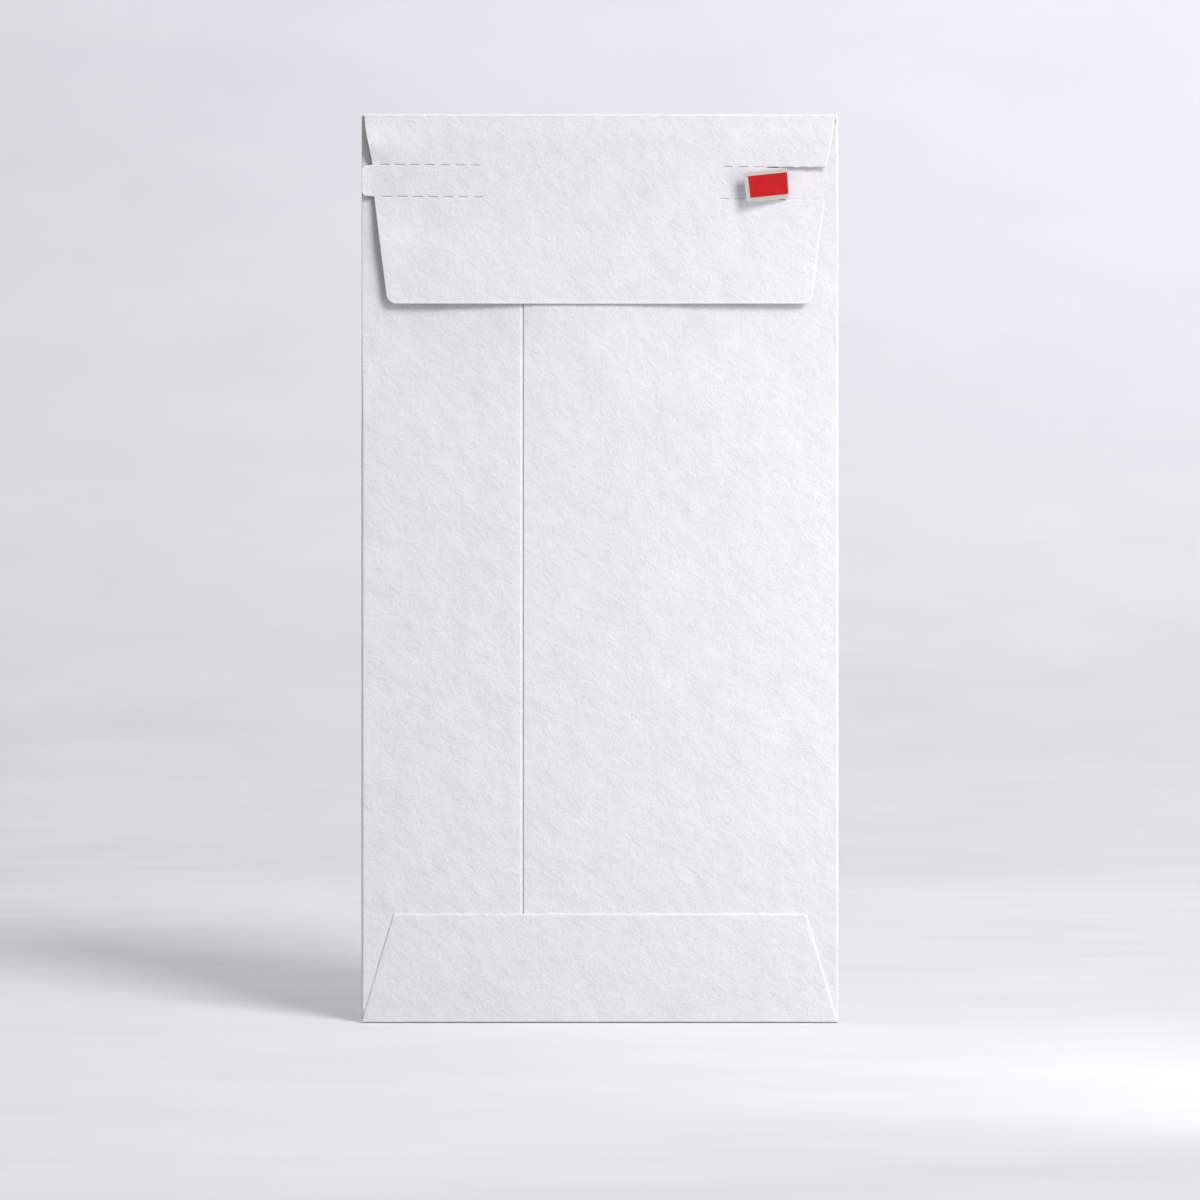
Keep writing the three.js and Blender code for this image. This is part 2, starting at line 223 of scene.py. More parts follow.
def makePiece(name, near, far, body, slot, distance=None, blend=None):
    rows, columns = near.shape[:2]
    count = rows * columns
    points = np.concatenate([near.reshape(-1, 3), far.reshape(-1, 3)]) * mm
    index = np.arange(count).reshape(rows, columns)
    rim = np.concatenate([index[0, :-1], index[:-1, -1], index[-1, :0:-1], index[:0:-1, 0]])
    after = np.roll(rim, -1)
    walls = np.stack([after, rim, rim + count, after + count], -1)
    nearFaces = gridFaces(index)
    farFaces = gridFaces(index + count)[:, ::-1]
    faces = np.concatenate([nearFaces, farFaces, walls])
    a, b, c, d = (points[faces[:, corner]] for corner in range(4))
    if np.einsum("ij,ij->", a, np.cross(b, c) + np.cross(c, d)) < 0:
        faces = faces[:, ::-1]
    mesh = bpy.data.meshes.new(name)
    mesh.from_pydata(points.tolist(), [], faces.tolist())
    for finish in finishes[slot]:
        mesh.materials.append(finish)
    turned = np.zeros(len(faces), np.int32)
    turned[len(nearFaces):len(nearFaces) + len(farFaces)] = len(finishes[slot]) - 1
    mesh.polygons.foreach_set("material_index", turned)
    if distance is None:
        distance = np.full((rows, columns), farAway)
    # cutEdge holds a share that is 1 at a cut edge and fades inwards; the paper's material paints the
    # paper lighter there, a painted highlight.
    white = np.tile(1 - smoothStep(0, cutEdge["highlightWidth"], distance).ravel(), 2)
    mesh.attributes.new("cutEdge", "FLOAT", "POINT").data.foreach_set("value", white)
    mesh.shade_smooth()
    mesh.set_sharp_from_angle(angle=math.radians(sharpAngle))
    piece = linkObject(name + "_paper" if slot == "paper" else name + "_film", mesh)
    if blend:
        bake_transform(piece)
    else:
        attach(piece, body)
    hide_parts(name)


def spread(low, high, step):
    return np.linspace(low, high, max(2, round(abs(high - low) / step) + 1))


# Rows or columns from one value to another, closer together beside the ends that are cut edges.
def spacing(low, high, step, cutLow=True, cutHigh=True):
    start = low + edgeSteps if cutLow else np.array([low])
    end = high - edgeSteps[::-1] if cutHigh else np.array([high])
    return np.concatenate([start, spread(start[-1], end[0], step)[1:-1], end])


# A grid between two side lines, which are functions of z. Its middle columns have their given x on
# the kept row, and on the others they follow the sides.
def sheetGrid(rowsZ, leftLine, rightLine, middleX, keptRow):
    z = np.array(rowsZ, float)[:, None]
    left = leftLine(z) + edgeSteps
    right = rightLine(z) - edgeSteps[::-1]
    innerLeft, innerRight = left[:, -1:], right[:, :1]
    shares = (middleX - innerLeft[keptRow]) / (innerRight[keptRow] - innerLeft[keptRow])
    middle = innerLeft + shares * (innerRight - innerLeft)
    x = np.hstack([left, middle, right])
    return x, np.broadcast_to(z, x.shape).copy()


def straight(x0, z0, x1, z1):
    return lambda z: x0 + (z - z0) * (x1 - x0) / (z1 - z0)


def boxGrid(low, high, stepX, stepZ):
    return np.meshgrid(spread(low.x, high.x, stepX), spread(low.z, high.z, stepZ))


def layerPoints(x, z, depth):
    return np.stack([x, farY - depth * np.ones_like(x), z], -1)


# Lays a sheet of paper with its near face at a depth. Where a distance is given, cut edges are round.
def layPaper(name, x, z, depth, body, distance=None):
    near = layerPoints(x, z, depth)
    far = layerPoints(x, z, depth - paperThickness)
    if distance is not None:
        near, far = roundEdges(near, far, distance)
    makePiece(name, near, far, body, "paper", distance)


def layFilm(name, x, z, depth, body, slot):
    near = layerPoints(x, z, depth)
    makePiece(name, near, layerPoints(x, z, depth - filmThickness), body, slot)


# Colour and nodes
def hexLinear(code):
    values = [int(code[start:start + 2], 16) / 255 for start in (1, 3, 5)]
    return [v / 12.92 if v <= 0.04045 else ((v + 0.055) / 1.055) ** 2.4 for v in values] + [1]


# Adds a node. Keys of inputs are socket names or numbers. A value is a constant, or a socket to link,
# or a node, whose first output is linked.
def addNode(tree, kind, inputs=None, **settings):
    node = tree.nodes.new(kind)
    for name, value in settings.items():
        setattr(node, name, value)
    for socket, value in (inputs or {}).items():
        if isinstance(value, bpy.types.Node):
            value = value.outputs[0]
        if isinstance(value, bpy.types.NodeSocket):
            tree.links.new(value, node.inputs[socket])
        else:
            node.inputs[socket].default_value = value
    return node


def newMaterial(name):
    material = bpy.data.materials.new(name)
    material.use_nodes = True
    material.node_tree.nodes.clear()
    return material, material.node_tree


# Felt-marked cotton paper, as made on a mould machine: matt, faintly blue white, with soft diagonal
# felt marks, cloudy fibres and a few dark specks. The eye reads it as heavy and slightly hairy.
# Each noise has a size, a detail, a roughness and a distortion, and is about half as large as its
# size: felt marks 1 to 3 mm long, cotton fibres 0.3 mm wide, clouds of denser pulp, and clots of
# fibre that show only in the relief. Reliefs are shares of the fibres' own.
# The edge colour is mixed in along cut edges and along the flap's crease: a painted highlight where they
# catch the light.
cotton = dict(
    turn=45, stretch=(1.2, 1, 0.95),
    noises=dict(marks=(3.2, 5, 0.66, 0.3), fibres=(0.7, 4, 0.62, 0.6), clouds=(12, 3, 0.5, 0),
                clots=(8, 1, 0.5, 0)),
    markRelief=3.5, clotRelief=4.1, speckSpacing=9, speckEdge=0.022, speckCore=0.012,
    fleckLow=0.965, fleckHigh=1.03, highlightColour="#fbfbfc", speckColour="#8f8b86",
)
# The last number of each side is how strongly that side takes the painted edge highlight.
outerSide = dict(
    colour="#f1f0f4", cloudColour="#ecebf0", markDepth=0.08, speckShare=0.05, edgeHighlight=0.7,
)
innerSide = dict(
    colour="#c6c2b8", cloudColour="#bdb9b0", markDepth=0.063, speckShare=0.02, edgeHighlight=0.12,
)


def cottonPaper(name, colour, cloudColour, markDepth, speckShare, edgeHighlight):
    material, tree = newMaterial(name)
    place = addNode(tree, "ShaderNodeTexCoord").outputs["Object"]
    turned = addNode(tree, "ShaderNodeMapping", {
        "Vector": place, "Rotation": (0, math.radians(cotton["turn"]), 0), "Scale": cotton["stretch"],
    }, vector_type="TEXTURE")
    found = {}
    for part, (size, detail, roughness, distortion) in cotton["noises"].items():
        found[part] = addNode(tree, "ShaderNodeTexNoise", {
            "Vector": place if part == "clouds" else turned, "Scale": 1 / (size * mm),
            "Detail": detail, "Roughness": roughness, "Distortion": distortion,
        })
    cloudy = addNode(tree, "ShaderNodeMapRange", {
        "Value": found["clouds"], "From Min": 0.3, "From Max": 0.7,
    })
    toned = addNode(tree, "ShaderNodeMath", {0: found["marks"], 1: found["fibres"]})
    fleck = addNode(tree, "ShaderNodeMapRange", {
        "Value": toned, "From Min": 0.75, "From Max": 1.25,
        "To Min": cotton["fleckLow"], "To Max": cotton["fleckHigh"],
    })
    # specks of bark 0.3 mm across, a few on each panel
    specks = addNode(tree, "ShaderNodeTexVoronoi", {
        "Vector": place, "Scale": 1 / (cotton["speckSpacing"] * mm), "Randomness": 1,
    }, feature="F1")
    speckHere = addNode(tree, "ShaderNodeMapRange", {
        "Value": specks.outputs["Distance"],
        "From Min": cotton["speckEdge"], "From Max": cotton["speckCore"], "To Min": 0, "To Max": 1,
    })
    speckPick = addNode(tree, "ShaderNodeSeparateColor", {"Color": specks.outputs["Color"]})
    picked = addNode(tree, "ShaderNodeMath", {0: speckPick, 1: speckShare}, operation="LESS_THAN")
    speck = addNode(tree, "ShaderNodeMath", {0: speckHere, 1: picked}, operation="MULTIPLY")
    # paints cut edges and the flap's crease lighter: a painted highlight where they catch the light
    edge = addNode(tree, "ShaderNodeAttribute", attribute_name="cutEdge").outputs["Fac"]
    highlightShare = addNode(tree, "ShaderNodeMath", {0: edge, 1: edgeHighlight}, operation="MULTIPLY")
    tinted = hexLinear(colour)
    for factor, tint, way in ((cloudy, hexLinear(cloudColour), "MIX"), (1, fleck, "MULTIPLY"),
                              (highlightShare, hexLinear(cotton["highlightColour"]), "MIX"),
                              (speck, hexLinear(cotton["speckColour"]), "MIX")):
        tinted = addNode(tree, "ShaderNodeMix", {
            0: factor, 6: tinted, 7: tint,
        }, data_type="RGBA", blend_type=way).outputs[2]
    fineRelief = addNode(tree, "ShaderNodeMath", {
        0: found["marks"], 1: cotton["markRelief"], 2: found["fibres"],
    }, operation="MULTIPLY_ADD")
    relief = addNode(tree, "ShaderNodeMath", {
        0: found["clots"], 1: cotton["clotRelief"], 2: fineRelief,
    }, operation="MULTIPLY_ADD")
    bump = addNode(tree, "ShaderNodeBump", {
        "Height": relief, "Strength": 1, "Distance": markDepth * mm,
    })
    shader = addNode(tree, "ShaderNodeBsdfPrincipled", {
        "Base Color": tinted, "Roughness": 0.88, "IOR": 1.47, "Specular IOR Level": 0.3,
        "Normal": bump,
    })
    addNode(tree, "ShaderNodeOutputMaterial", {"Surface": shader})
    return material


# Oriented polyester tear tape, coloured through and drawn in one direction: a clear red with a soft
# gloss and very fine lines along it.
polyester = dict(
    lineSize=0.25, lineStretch=(0.05, 1, 1), lineDepth=0.01, patchSize=3.5, colour="#c8131b",
    darkColour="#b81118", smooth=0.52, rough=0.66,
)


def polyesterTape():
    material, tree = newMaterial("polyesterTape")
    place = addNode(tree, "ShaderNodeTexCoord").outputs["Object"]
    drawn = addNode(tree, "ShaderNodeMapping", {
        "Vector": place, "Scale": polyester["lineStretch"],
    })
    lines = addNode(tree, "ShaderNodeTexNoise", {
        "Vector": drawn, "Scale": 1 / (polyester["lineSize"] * mm), "Detail": 3, "Roughness": 0.6,
    })
    patches = addNode(tree, "ShaderNodeTexNoise", {
        "Vector": place, "Scale": 1 / (polyester["patchSize"] * mm), "Detail": 2,
    })
    shade = addNode(tree, "ShaderNodeMapRange", {
        "Value": patches, "From Min": 0.35, "From Max": 0.65,
    })
    colour = addNode(tree, "ShaderNodeMix", {
        0: shade, 6: hexLinear(polyester["colour"]), 7: hexLinear(polyester["darkColour"]),
    }, data_type="RGBA").outputs[2]
    rough = addNode(tree, "ShaderNodeMapRange", {
        "Value": lines, "From Min": 0.3, "From Max": 0.7,
        "To Min": polyester["smooth"], "To Max": polyester["rough"],
    })
    bump = addNode(tree, "ShaderNodeBump", {
        "Height": lines, "Strength": 0.5, "Distance": polyester["lineDepth"] * mm,
    })
    shader = addNode(tree, "ShaderNodeBsdfPrincipled", {
        "Base Color": colour, "Roughness": rough, "IOR": 1.57,
        "Specular IOR Level": 0.12, "Normal": bump,
    })
    addNode(tree, "ShaderNodeOutputMaterial", {"Surface": shader})
    return material


# Dried dextrin gum, rolled on as a film: a cream glaze with a dull shine and faint roller streaks.
dextrin = dict(
    streakSize=0.9, streakStretch=(0.12, 1, 1), streakDepth=0.03, colour="#e9e4d2", paleColour="#f1eee2",
)


def dextrinGum():
    material, tree = newMaterial("dextrinGum")
    place = addNode(tree, "ShaderNodeTexCoord").outputs["Object"]
    rolled = addNode(tree, "ShaderNodeMapping", {
        "Vector": place, "Scale": dextrin["streakStretch"],
    })
    streaks = addNode(tree, "ShaderNodeTexNoise", {
        "Vector": rolled, "Scale": 1 / (dextrin["streakSize"] * mm), "Detail": 4,
    })
    tone = addNode(tree, "ShaderNodeMapRange", {
        "Value": streaks, "From Min": 0.3, "From Max": 0.7,
    })
    colour = addNode(tree, "ShaderNodeMix", {
        0: tone, 6: hexLinear(dextrin["colour"]), 7: hexLinear(dextrin["paleColour"]),
    }, data_type="RGBA").outputs[2]
    bump = addNode(tree, "ShaderNodeBump", {
        "Height": streaks, "Strength": 0.6, "Distance": dextrin["streakDepth"] * mm,
    })
    shader = addNode(tree, "ShaderNodeBsdfPrincipled", {
        "Base Color": colour, "Roughness": 0.34, "IOR": 1.5, "Normal": bump,
    })
    addNode(tree, "ShaderNodeOutputMaterial", {"Surface": shader})
    return material


paperOuter = cottonPaper("cottonPaperOuter", **outerSide)
paperInner = cottonPaper("cottonPaperInner", **innerSide)
finishes = dict(paper=[paperOuter, paperInner], tear_tape=[polyesterTape()], gum=[dextrinGum()])
print("materials made")


# The two walls of the pocket and what glues them
pocket = dict(panelStep=2.2, dipStep=0.06, glueStep=1.5)


def wallDepth(x, z):
    return (farY - backLow.y) - wallSag(x, z) + wave(x, z)


# The seam flap lies almost level with the back panel, and dips under it just before the seam.
def seamFlapDepth(x, z):
    dip = smoothStep(seamX - lie["seamDipWidth"], seamX - lie["seamDipEnd"], x)
    rise = lie["seamRise"] * (1 - dip) - lie["seamLipDrop"] * dip
    return (farY - seamFlapLow.y) + rise - wallSag(x, z) + wave(x, z)


def makeFrontPanel():
    x, z = boxGrid(frontLow, frontHigh, pocket["panelStep"], pocket["panelStep"])
    depth = wave(x, z)
    far = layerPoints(x, z, depth)
    near = layerPoints(x, z, depth + paperThickness)
    makePiece("front_panel", far, near, "pocket", "paper")


def makeSeamFlap():
    rowsZ = spacing(seamFlapLow.z, seamFlapHigh.z, pocket["panelStep"], cutLow=False)
    beforeDip = spread(seamFlapLow.x, seamX - lie["seamDipWidth"], pocket["panelStep"])
    dip = spread(beforeDip[-1], seamX, pocket["dipStep"])[1:]
    lap = spacing(seamX, seamFlapHigh.x, pocket["panelStep"], cutLow=False)[1:]
    x, z = np.meshgrid(np.concatenate([beforeDip, dip, lap]), rowsZ)
    distance = np.minimum(x[0, -1] - x, z[-1, 0] - z)
    layPaper("left_seam_flap", x, z, seamFlapDepth(x, z), "pocket", distance)


def makeBackPanel():
    rowsZ = spacing(backLow.z, backHigh.z, pocket["panelStep"], cutLow=False)
    columnsX = spacing(backLow.x, backHigh.x, pocket["panelStep"], cutHigh=False)
    x, z = np.meshgrid(columnsX, rowsZ)
    distance = np.minimum(x - x[0, 0], z[-1, 0] - z)
    layPaper("right_back_panel", x, z, wallDepth(x, z), "pocket", distance)


def makeSeamGlue():
    x, z = boxGrid(seamGlueLow, seamGlueHigh, pocket["glueStep"], pocket["glueStep"])
    depth = farY - seamGlueHigh.y - wallSag(x, z) + wave(x, z)
    layFilm("side_seam_glue", x, z, depth + filmThickness, "pocket", "gum")


# A crease: paper turned through half a turn round a stack of layers, with a flat land if the stack
# is thick. Its section runs from the address side round to the flap side.
# The bottom fold stands on its far side, and its near side is raised a little. The side folds' tops
# reach up into the crease of the flap as two small ears. The flap's crease has a painted highlight along
# its rounding, as if lit from above.
fold = dict(
    arcSteps=10, landSteps=3, stationStep=2.2, leastFlat=0.02,
    roughness=0.035, roughScale=6, roughSeed=(5.5, 1.2),
    raised=0.3, raisedAtEnds=0.12, raisedPower=8, nearRadius=0.3,
    creaseHighlight=1, earHeight=0.5, creaseInset=0.78,
)


def foldSection(stack, nearRadius):
    radius = min(creaseRadius, stack / 2) - fold["leastFlat"]
    nearRadius = min(nearRadius, radius)
    lead = creaseRadius - radius
    nearLead = creaseRadius - nearRadius
    turns = np.linspace(0, math.pi / 2, fold["arcSteps"] + 1)
    land = np.linspace(radius, stack - nearRadius, fold["landSteps"])[1:-1]
    reach = [[0.0], lead + radius * np.sin(turns), np.full(len(land), creaseRadius),
             nearLead + nearRadius * np.cos(turns), [0.0]]
    depth = [[0.0], radius - radius * np.cos(turns), land,
             stack - nearRadius + nearRadius * np.sin(turns), [stack]]
    outwards = [[0.0], np.sin(turns), np.ones(len(land)), np.cos(turns), [0.0]]
    nearwards = [[-1.0], -np.cos(turns), np.zeros(len(land)), np.sin(turns), [1.0]]
    return (np.concatenate(part) for part in (reach, depth, outwards, nearwards))


def makeFold(name, body, stations, stackAt, raisedAt, along, borderPlace, outwardsSign, blend=None,
             nearRadius=creaseRadius, creaseHighlight=0):
    outer, inner, distance = [], [], []
    for place in stations:
        reach, depth, outwards, nearwards = foldSection(stackAt(place), nearRadius)
        jitter = fold["roughness"] * noise.noise(Vector((place / fold["roughScale"], *fold["roughSeed"])))
        reach = reach + jitter * outwards * (reach > 0)
        kept = 1 - raisedAt(place) * depth / depth[-1]
        # on the flap's crease the outer rounding gets the painted highlight, as if lit from above
        distance.append(cutEdge["highlightWidth"] * (1 - creaseHighlight * outwards))
        for target, inset in ((outer, 0), (inner, paperThickness)):
            away = borderPlace + outwardsSign * (reach - inset * outwards) * kept
            level = farY - (depth - inset * nearwards)
            here = np.full(len(reach), place)
            ordered = (away, level, here) if along == "z" else (here, level, away)
            target.append(np.stack(ordered, -1))
    makePiece(name, np.array(outer), np.array(inner), body, "paper", np.array(distance), blend)


def makeSideFolds():
    stations = np.append(spread(frontLow.z, frontHigh.z, fold["stationStep"]),
                         frontHigh.z + fold["earHeight"])
    leftStack = lambda z: float(seamFlapDepth(np.array(frontLow.x), np.array(z)))
    makeFold("left_side_fold", "pocket", stations, leftStack, lambda z: 0, "z", frontLow.x, -1)
    rightStack = lambda z: float(wallDepth(np.array(frontHigh.x), np.array(z)))
    makeFold("right_side_fold", "pocket", stations, rightStack, lambda z: 0, "z", frontHigh.x, 1)


def makeBottomFold():
    stations = spread(footFoldLow.x, footFoldHigh.x, fold["stationStep"])

    def raised(x):
        return fold["raised"] - fold["raisedAtEnds"] * (x / footFoldHigh.x) ** fold["raisedPower"]

    makeFold("bottom_fold", "pocket", stations, lambda x: foldedDepth, raised, "x",
             footFoldHigh.z, -1, nearRadius=fold["nearRadius"])


def makeTopFold():
    creaseEnd = halfWidth - fold["creaseInset"]
    stations = spread(-creaseEnd, creaseEnd, fold["stationStep"])
    middle = Vector((0, farY - foldedDepth / 2, topFoldLow.z)) * mm
    half = Vector((0, foldedDepth / 2 - creaseRadius / 2, 0)) * mm
    makeFold("top_fold", "pocket", stations, lambda x: foldedDepth, lambda x: 0, "x",
             topFoldLow.z, 1, blend=("pocket", "closure_flap", middle + half, middle - half),
             creaseHighlight=fold["creaseHighlight"])


# The bottom flap is glued down over the back wall. Its edges are pressed onto it.
foot = dict(step=1.8, sideInset=7.9, columnInset=2.6, press=0.05, pressWidth=0.9)


def makeBottomFlap():
    rowsZ = spacing(footLow.z, footHigh.z, foot["step"], cutLow=False)
    halfLow = (footFoldHigh.x - footFoldLow.x) / 2
    halfHigh = halfLow - foot["sideInset"]
    rightLine = straight(halfLow, footLow.z, halfHigh, footHigh.z)
    lastColumn = halfHigh - foot["columnInset"]
    middleX = spread(-lastColumn, lastColumn, foot["step"])
    x, z = sheetGrid(rowsZ, lambda z: -rightLine(z), rightLine, middleX, -1)
    outline = [(-halfLow, footLow.z), (-halfHigh, footHigh.z), (halfHigh, footHigh.z),
               (halfLow, footLow.z)]
    distance = edgeDistance(x, z, [outline])
    pressed = foot["press"] * (1 - smoothStep(0, foot["pressWidth"], distance))
    layPaper("bottom_flap", x, z, foldedDepth - pressed + wave(x, z), "pocket", distance)


def makeBottomGlue():
    x, z = boxGrid(footGlueLow, footGlueHigh, pocket["glueStep"], pocket["glueStep"])
    layFilm("bottom_flap_glue", x, z, outerFlapDepth + wave(x, z), "pocket", "gum")


for makePart in (makeFrontPanel, makeSeamFlap, makeBackPanel, makeSeamGlue, makeSideFolds,
                 makeBottomFold, makeTopFold, makeBottomFlap, makeBottomGlue):
    makePart()
print("pocket folded and glued")


# The perforated lines. Each slit's lips are pressed inwards by the blade. The stops are where the
# mesh has columns, counted from a slit's start.
slits = dict(
    length=2.66, gap=1.14, perGroup=7, leftInset=dict(upper=1.3, lower=2.0),
    rightInset=dict(upper=0.7, lower=1.6), opening=0.05, lipWidth=0.34, lipDepth=0.13, lipPower=2.0,
    ramp=0.22, leastPressed=0.7, mostPressed=1.2, seed=11,
    stops=(0, 0.08, 0.22, 0.6, 1.3, 2.06, 2.44, 2.58, 2.66, 3.2), columnStep=1.6, leastStep=0.015,
)
slitPitch = slits["length"] + slits["gap"]


# Geometry Nodes: one row of slits along a line of a sheet. The sheet's points beside the line are
# pushed in and back where a slit is, each slit a little differently.
def slitRowTree():
    tree = bpy.data.node_groups.new("slitRow", "GeometryNodeTree")
    face = tree.interface
    face.new_socket("Geometry", in_out="INPUT", socket_type="NodeSocketGeometry")
    face.new_socket("Geometry", in_out="OUTPUT", socket_type="NodeSocketGeometry")
    for name in ("Line Height", "Paper Side", "First Slit", "Slit Count", "Pitch", "Slit Length",
                 "Opening", "Lip Width", "Lip Depth", "Ramp", "Least Pressed", "Most Pressed"):
        face.new_socket(name, in_out="INPUT", socket_type="NodeSocketFloat")
    face.new_socket("Seed", in_out="INPUT", socket_type="NodeSocketInt")
    face.new_socket("Paper", in_out="INPUT", socket_type="NodeSocketMaterial")
    given = addNode(tree, "NodeGroupInput").outputs
    place = addNode(tree, "GeometryNodeInputPosition")
    xyz = addNode(tree, "ShaderNodeSeparateXYZ", {0: place}).outputs
    # a row of sums: each has a name, what it does and its two values, which are given or worked out
    found = {socket.name: socket for socket in given} | {"x": xyz[0], "z": xyz[2]}
    for name, operation, first, second in (
        ("past", "SUBTRACT", "x", "First Slit"), ("turns", "DIVIDE", "past", "Pitch"),
        ("number", "FLOOR", "turns", 0), ("part", "FRACT", "turns", 0),
        ("local", "MULTIPLY", "part", "Pitch"), ("closing", "SUBTRACT", "Slit Length", "Ramp"),
        ("started", "GREATER_THAN", "number", -0.5), ("last", "SUBTRACT", "Slit Count", 0.5),
        ("unfinished", "LESS_THAN", "number", "last"), ("inRow", "MULTIPLY", "started", "unfinished"),
        ("above", "SUBTRACT", "z", "Line Height"), ("away", "ABSOLUTE", "above", 0),
    ):
        found[name] = addNode(tree, "ShaderNodeMath", {
            0: found[first], 1: found.get(second, second),
        }, operation=operation).outputs[0]
    opened = addNode(tree, "ShaderNodeMapRange", {
        "Value": found["local"], "From Min": 0, "From Max": given["Ramp"],
    }, interpolation_type="SMOOTHSTEP")
    closed = addNode(tree, "ShaderNodeMapRange", {
        "Value": found["local"], "From Min": found["closing"], "From Max": given["Slit Length"],
        "To Min": 1, "To Max": 0,
    }, interpolation_type="SMOOTHSTEP")
    varied = addNode(tree, "FunctionNodeRandomValue", {
        2: given["Least Pressed"], 3: given["Most Pressed"], "ID": found["number"],
        "Seed": given["Seed"],
    }, data_type="FLOAT").outputs[1]
    nearness = addNode(tree, "ShaderNodeMapRange", {
        "Value": found["away"], "From Min": 0, "From Max": given["Lip Width"], "To Min": 1, "To Max": 0,
    })
    lip = addNode(tree, "ShaderNodeMath", {0: nearness, 1: slits["lipPower"]}, operation="POWER")
    for factor in (opened, closed, found["inRow"]):
        lip = addNode(tree, "ShaderNodeMath", {0: lip, 1: factor}, operation="MULTIPLY")
    pressed = addNode(tree, "ShaderNodeMath", {0: varied, 1: given["Lip Depth"]}, operation="MULTIPLY")
    drawn = addNode(tree, "ShaderNodeMath", {
        0: given["Opening"], 1: given["Paper Side"],
    }, operation="MULTIPLY")
    offset = addNode(tree, "ShaderNodeCombineXYZ", {1: pressed, 2: drawn})
    scaled = addNode(tree, "ShaderNodeVectorMath", {0: offset, 3: lip}, operation="SCALE")
    moved = addNode(tree, "GeometryNodeSetPosition", {"Geometry": given["Geometry"], "Offset": scaled})
    whole = addNode(tree, "GeometryNodeRealizeInstances", {0: moved})
    dressed = addNode(tree, "GeometryNodeSetMaterial", {"Geometry": whole, "Material": given["Paper"]})
    addNode(tree, "NodeGroupOutput", {0: dressed})
    return tree


slitRow = slitRowTree()


# The x of each slit's start on one line, and how many there are: the left group, then the right one.
def slitGroups(line):
    first = -tabRootX + slits["leftInset"][line]
    last = tabRootX - slits["rightInset"][line] - slits["length"]
    return [(first, slits["perGroup"]),
            (last - (slits["perGroup"] - 1) * slitPitch, slits["perGroup"])]


# Mesh columns that show the slits of some lines: close together at the ends of each slit.
def slitColumns(lines, lowX, highX):
    columns = [start + number * slitPitch + stop
               for line in lines for start, count in slitGroups(line)
               for number in range(count) for stop in slits["stops"]]
    columns += list(spread(lowX, highX, slits["columnStep"]))
    columns = np.unique(np.round([c for c in columns if lowX <= c <= highX], 4))
    keep = np.concatenate([[True], np.diff(columns) > slits["leastStep"]])
    return columns[keep]


# Runs the slit tree over a flat sheet and gives back how far each point moved in depth and height.
def cutSlits(x, z, lines):
    sheet = bpy.data.meshes.new("slitSheet")
    flat = np.stack([x, np.zeros_like(x), z], -1).reshape(-1, 3) * mm
    sheet.from_pydata(flat.tolist(), [], gridFaces(np.arange(x.size).reshape(x.shape)).tolist())
    worked = linkObject("slitSheet", sheet)
    keys = {item.name: item.identifier for item in slitRow.interface.items_tree
            if item.in_out == "INPUT"}
    for line, lineZ, paperSide in lines:
        for firstX, count in slitGroups(line):
            modifier = worked.modifiers.new(line, "NODES")
            modifier.node_group = slitRow
            values = {
                "Line Height": lineZ * mm, "Paper Side": float(paperSide), "First Slit": firstX * mm,
                "Slit Count": float(count), "Pitch": slitPitch * mm,
                "Slit Length": slits["length"] * mm, "Opening": slits["opening"] * mm,
                "Lip Width": slits["lipWidth"] * mm, "Lip Depth": slits["lipDepth"] * mm,
                "Ramp": slits["ramp"] * mm, "Least Pressed": slits["leastPressed"],
                "Most Pressed": slits["mostPressed"], "Seed": slits["seed"], "Paper": paperOuter,
            }
            for name, value in values.items():
                modifier[keys[name]] = value
    worked.data.update()
    evaluated = worked.evaluated_get(bpy.context.evaluated_depsgraph_get())
    result = bpy.data.meshes.new_from_object(evaluated)
    moved = np.empty(len(result.vertices) * 3, np.float32)
    result.vertices.foreach_get("co", moved)
    moved = moved.reshape(*x.shape, 3) / mm
    worked.modifiers.clear()
    bpy.data.objects.remove(worked)
    return moved[..., 1], moved[..., 2]


# The closure flap. A torn edge has fibres all along, and a nib where each bridge gave way.
flap = dict(
    step=1.6, stripStep=1.2, gumSteps=(1.5, 1.0), tapeSteps=(1.4, 0.9), cornerRows=(1.7, 2.1),
    edgeLift=0.09, edgeLiftWidth=0.8, cornerRadius=2.6, cornerPoints=14,
    bandInset=fold["creaseInset"], panelInset=3.5, bottomInset=6.9, leftShift=0.28, shiftFade=3,
    bandMargins=(1.1, 1.35), panelMargin=1.4,
    fibres=0.035, fibreScale=0.45, fibreShare=0.35, nib=0.05, nibRise=(-0.1, 0.25), nibFall=0.3,
    tornSeeds=dict(upper=2.2, lower=6.1), tornWidth=0.6, heldRun=3.5, openFade=0.3,
)
openX = tearX + flap["heldRun"]  # from here on the torn edges stand apart


# How far a torn edge stands out at x.
def tornEdge(x, line, seed):
    first, count = slitGroups(line)[1]
    local = np.mod(x - first, slitPitch)
    inBridge = smoothStep(*(slits["length"] + np.array(flap["nibRise"])), local)
    nib = flap["nib"] * inBridge * smoothStep(slitPitch, slitPitch - flap["nibFall"], local)
    hair = flap["fibres"] * cloudNoise(x, np.zeros_like(x), flap["fibreScale"], seed)
    return nib + hair * (flap["fibreShare"] + inBridge)


# Cuts and tears one line of a flat sheet, which lies above the line where side is 1 and below it
# where it is -1. It gives back the depth and height of each point.
def perforate(x, z, line, lineZ, side):
    dip, heightZ = cutSlits(x, z, [(line, lineZ, side)])
    torn = tornEdge(x, line, flap["tornSeeds"][line]) * smoothStep(openX, openX + flap["openFade"], x)
    fade = 1 - smoothStep(0, flap["tornWidth"], side * (z - lineZ))
    heightZ = heightZ - side * torn * fade + lineShift(x, z)
    return foldedDepth + flapLift(x, z) - dip, heightZ


